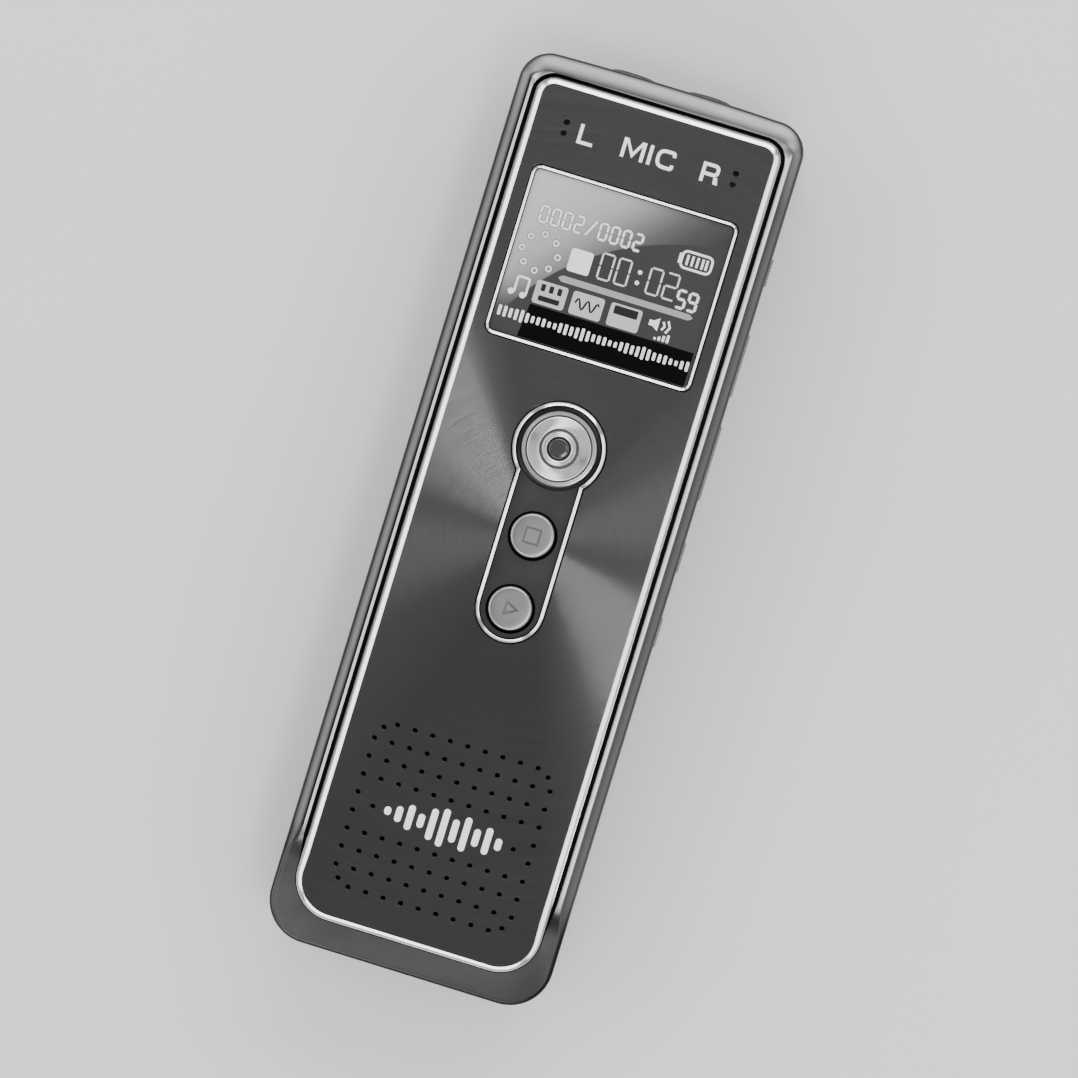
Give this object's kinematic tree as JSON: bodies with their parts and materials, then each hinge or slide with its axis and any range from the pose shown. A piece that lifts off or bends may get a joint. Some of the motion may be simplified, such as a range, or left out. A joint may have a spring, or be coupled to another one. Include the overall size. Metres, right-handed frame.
{
  "type": "handheld voice recorder",
  "caption": "Slim pocket voice recorder with a framed display, a keyhole-shaped keypad, a loudspeaker grille, side keys, a slide switch and round audio sockets.",
  "frame": {"origin": "centre of the flat back, on which the recorder lies", "axes": "+Z out of the face, +Y towards the microphone and socket end, +X to the right of the face"},
  "size_m": [0.0314, 0.0984, 0.0116],
  "materials": {
    "frame_metal": "satin, fine bead blasted, with a bright cut inner lip",
    "cover_plastic": "fine spark texture",
    "spun_metal": "circular brushed, dark anodised, with a diamond-cut bevel",
    "bright_trim": "polished",
    "display_lens": "clear hard coat over the display picture",
    "keypad_metal": "satin dark paint",
    "polished_metal": "turned and polished, fine rings",
    "satin_caps": "satin",
    "gloss_black": "high gloss",
    "black_plastic": "satin moulded",
    "light_plastic": "moulded",
    "flex_film": "amber film",
    "silicone": "matt silicone",
    "foam": "fine open foam",
    "steel": "plated sheet",
    "board": "green solder mask with tracks",
    "chip": "moulded epoxy",
    "battery_foil": "soft foil",
    "red_wire": "insulated wire",
    "dust_cloth": "fine woven acoustic cloth"
  },
  "bodies": {
    "body": {"body_frame": "frame_metal", "back_cover": "cover_plastic", "back_screw_1": "steel", "back_screw_2": "steel", "back_screw_3": "steel", "back_screw_4": "steel", "front_panel": "spun_metal", "display_bezel": "bright_trim", "display_window": "display_lens", "display_gasket": "foam", "display_module": "light_plastic", "display_flex": "flex_film", "keypad_trim": "bright_trim", "keypad_plate": "keypad_metal", "keypad_mat": "silicone", "record_switch": "steel", "stop_switch": "steel", "play_switch": "steel", "slide_switch": "steel", "side_switch_1": "steel", "side_switch_2": "steel", "side_switch_3": "steel", "side_switch_4": "steel", "microphone_jack": "black_plastic", "headphone_jack": "black_plastic", "usb_socket": "steel", "usb_tongue": "black_plastic", "main_board": "board", "board_screw_1": "steel", "board_screw_2": "steel", "board_screw_3": "steel", "processor": "chip", "flash_memory": "chip", "clock_crystal": "steel", "battery": "battery_foil", "battery_connector": "light_plastic", "battery_lead_red": "red_wire", "battery_lead_black": "black_plastic", "speaker": "steel", "speaker_gasket": "foam", "speaker_mesh": "dust_cloth", "microphone_left": "battery_foil", "microphone_gasket_left": "silicone", "microphone_right": "battery_foil", "microphone_gasket_right": "silicone"},
    "record_key": {"record_button": "polished_metal", "record_button_insert": "gloss_black"},
    "stop_key": {"stop_button": "satin_caps"},
    "play_key": {"play_button": "satin_caps"},
    "slide_key": {"slide_knob": "satin_caps"},
    "side_key_1": {"side_button_1": "satin_caps"},
    "side_key_2": {"side_button_2": "satin_caps"},
    "side_key_3": {"side_button_3": "satin_caps"},
    "side_key_4": {"side_button_4": "satin_caps"}
  },
  "joints": [
    {"name": "record_press", "type": "slide", "parent": "body", "child": "record_key", "axis": [0, 0, -1], "range_m": [0, 0.00025], "stiffness_N_per_m": 800},
    {"name": "stop_press", "type": "slide", "parent": "body", "child": "stop_key", "axis": [0, 0, -1], "range_m": [0, 0.00025], "stiffness_N_per_m": 800},
    {"name": "play_press", "type": "slide", "parent": "body", "child": "play_key", "axis": [0, 0, -1], "range_m": [0, 0.00025], "stiffness_N_per_m": 800},
    {"name": "switch_slide", "type": "slide", "parent": "body", "child": "slide_key", "axis": [0, 1, 0], "range_m": [-0.0015, 0.0015]},
    {"name": "side_press_1", "type": "slide", "parent": "body", "child": "side_key_1", "axis": [-1, 0, 0], "range_m": [0, 0.00025], "stiffness_N_per_m": 800},
    {"name": "side_press_2", "type": "slide", "parent": "body", "child": "side_key_2", "axis": [-1, 0, 0], "range_m": [0, 0.00025], "stiffness_N_per_m": 800},
    {"name": "side_press_3", "type": "slide", "parent": "body", "child": "side_key_3", "axis": [-1, 0, 0], "range_m": [0, 0.00025], "stiffness_N_per_m": 800},
    {"name": "side_press_4", "type": "slide", "parent": "body", "child": "side_key_4", "axis": [-1, 0, 0], "range_m": [0, 0.00025], "stiffness_N_per_m": 800}
  ]
}
